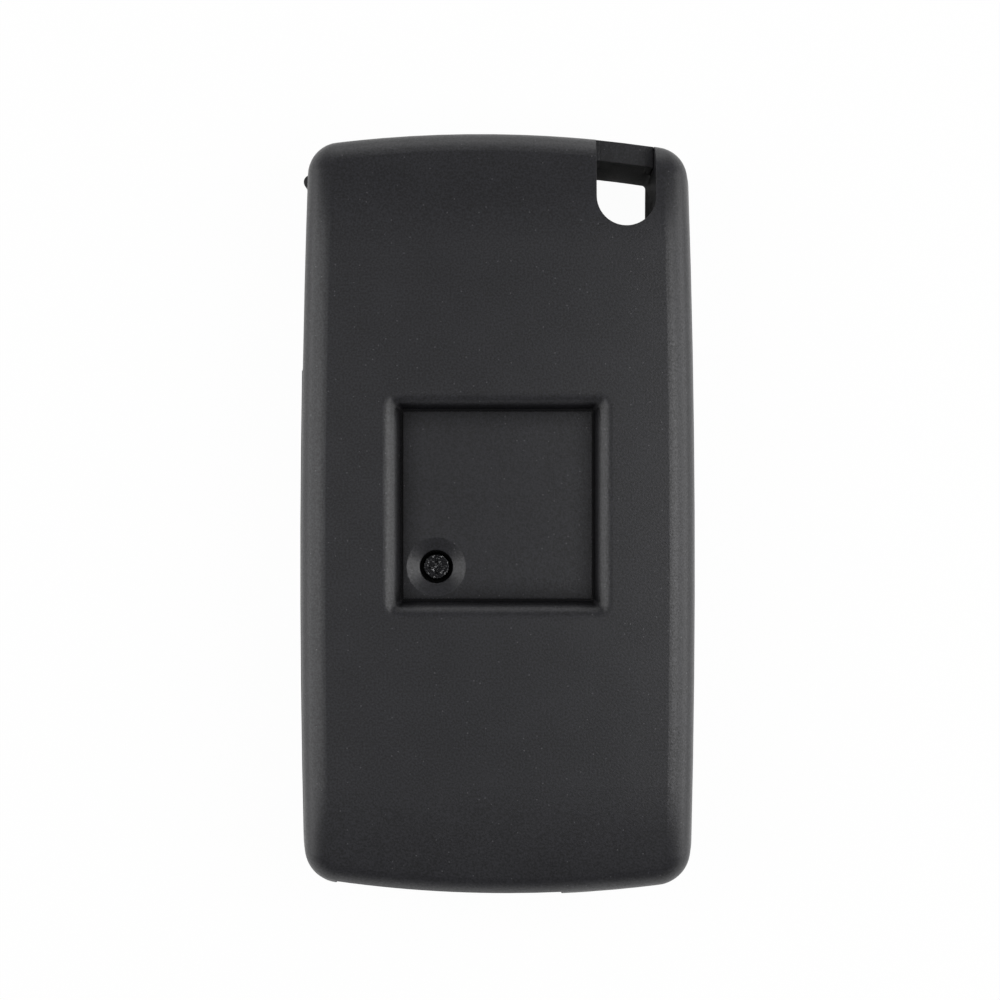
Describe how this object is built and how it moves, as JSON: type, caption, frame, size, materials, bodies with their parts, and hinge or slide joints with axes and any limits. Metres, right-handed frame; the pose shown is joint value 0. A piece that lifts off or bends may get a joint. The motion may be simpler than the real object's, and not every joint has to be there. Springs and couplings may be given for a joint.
{
  "type": "flip remote key",
  "caption": "Folding remote key: a black textured plastic case with a square recess and a keyring slot, a steel blade that swings out, a release button and pressed buttons on the front.",
  "frame": {"origin": "centre of the key's outline on the plane that its front face rests on", "axes": "+Z from the front face, which lies down, to the rear face; +Y towards the keyring end; +X to the right as seen from behind"},
  "size_m": [0.039, 0.0746, 0.016],
  "materials": {
    "case": "black ABS with a fine spark-eroded texture",
    "screw_steel": "black zinc plating",
    "mechanism_plastic": "glass-filled nylon, satin",
    "release_plastic": "moulded, satin",
    "button_plastic": "moulded, soft satin",
    "mat_silicone": "moulded silicone",
    "board": "glass-epoxy laminate under green solder resist",
    "switch_plastic": "moulded",
    "plunger_plastic": "moulded",
    "chip": "moulded epoxy",
    "coil": "sintered ferrite",
    "crystal_can": "plated can",
    "capacitor": "fired ceramic with tinned ends",
    "cell_steel": "nickel-plated steel",
    "contact_metal": "nickel-plated spring strip",
    "blade_steel": "ground, nickel-plated",
    "pin_steel": "rolled",
    "spring_steel": "drawn spring wire"
  },
  "bodies": {
    "case": {"rear_cover": "case", "front_cover": "case", "case_screw": "screw_steel", "pivot_cap": "mechanism_plastic", "button_mat": "mat_silicone", "circuit_board": "board", "lock_switch_body": "switch_plastic", "boot_switch_body": "switch_plastic", "unlock_switch_body": "switch_plastic", "controller_chip": "chip", "transponder_coil": "coil", "crystal": "crystal_can", "chip_capacitors": "capacitor", "coin_cell": "cell_steel", "positive_contact": "contact_metal", "negative_contact": "contact_metal"},
    "blade": {"blade_carrier": "mechanism_plastic", "key_blade": "blade_steel", "blade_pin": "pin_steel", "flip_spring": "spring_steel"},
    "release": {"release_button": "release_plastic"},
    "lock": {"lock_button": "button_plastic"},
    "lock_plunger": {"lock_switch_plunger": "plunger_plastic"},
    "boot": {"boot_button": "button_plastic"},
    "boot_plunger": {"boot_switch_plunger": "plunger_plastic"},
    "unlock": {"unlock_button": "button_plastic"},
    "unlock_plunger": {"unlock_switch_plunger": "plunger_plastic"}
  },
  "joints": [
    {"name": "blade_flip", "type": "hinge", "parent": "case", "child": "blade", "pos_m": [-0.0104, 0.027, 0.00995], "axis": [0, 0, -1], "range_deg": [0, 180]},
    {"name": "release_press", "type": "slide", "parent": "blade", "child": "release", "axis": [0, 0, 1], "range_m": [0, 0.0018], "stiffness_N_per_m": 600, "deforming": ["flip_spring"]},
    {"name": "lock_press", "type": "slide", "parent": "case", "child": "lock", "axis": [0, 0, 1], "range_m": [0, 0.00045], "stiffness_N_per_m": 2000},
    {"name": "lock_plunger_press", "type": "slide", "parent": "case", "child": "lock_plunger", "axis": [0, 0, 1], "range_m": [0, 0.00045]},
    {"name": "boot_press", "type": "slide", "parent": "case", "child": "boot", "axis": [0, 0, 1], "range_m": [0, 0.00045], "stiffness_N_per_m": 2000},
    {"name": "boot_plunger_press", "type": "slide", "parent": "case", "child": "boot_plunger", "axis": [0, 0, 1], "range_m": [0, 0.00045]},
    {"name": "unlock_press", "type": "slide", "parent": "case", "child": "unlock", "axis": [0, 0, 1], "range_m": [0, 0.00045], "stiffness_N_per_m": 2000},
    {"name": "unlock_plunger_press", "type": "slide", "parent": "case", "child": "unlock_plunger", "axis": [0, 0, 1], "range_m": [0, 0.00045]}
  ],
  "couplings": [
    {"joint": "lock_plunger_press", "follows": "lock_press", "ratio": 1},
    {"joint": "boot_plunger_press", "follows": "boot_press", "ratio": 1},
    {"joint": "unlock_plunger_press", "follows": "unlock_press", "ratio": 1}
  ]
}
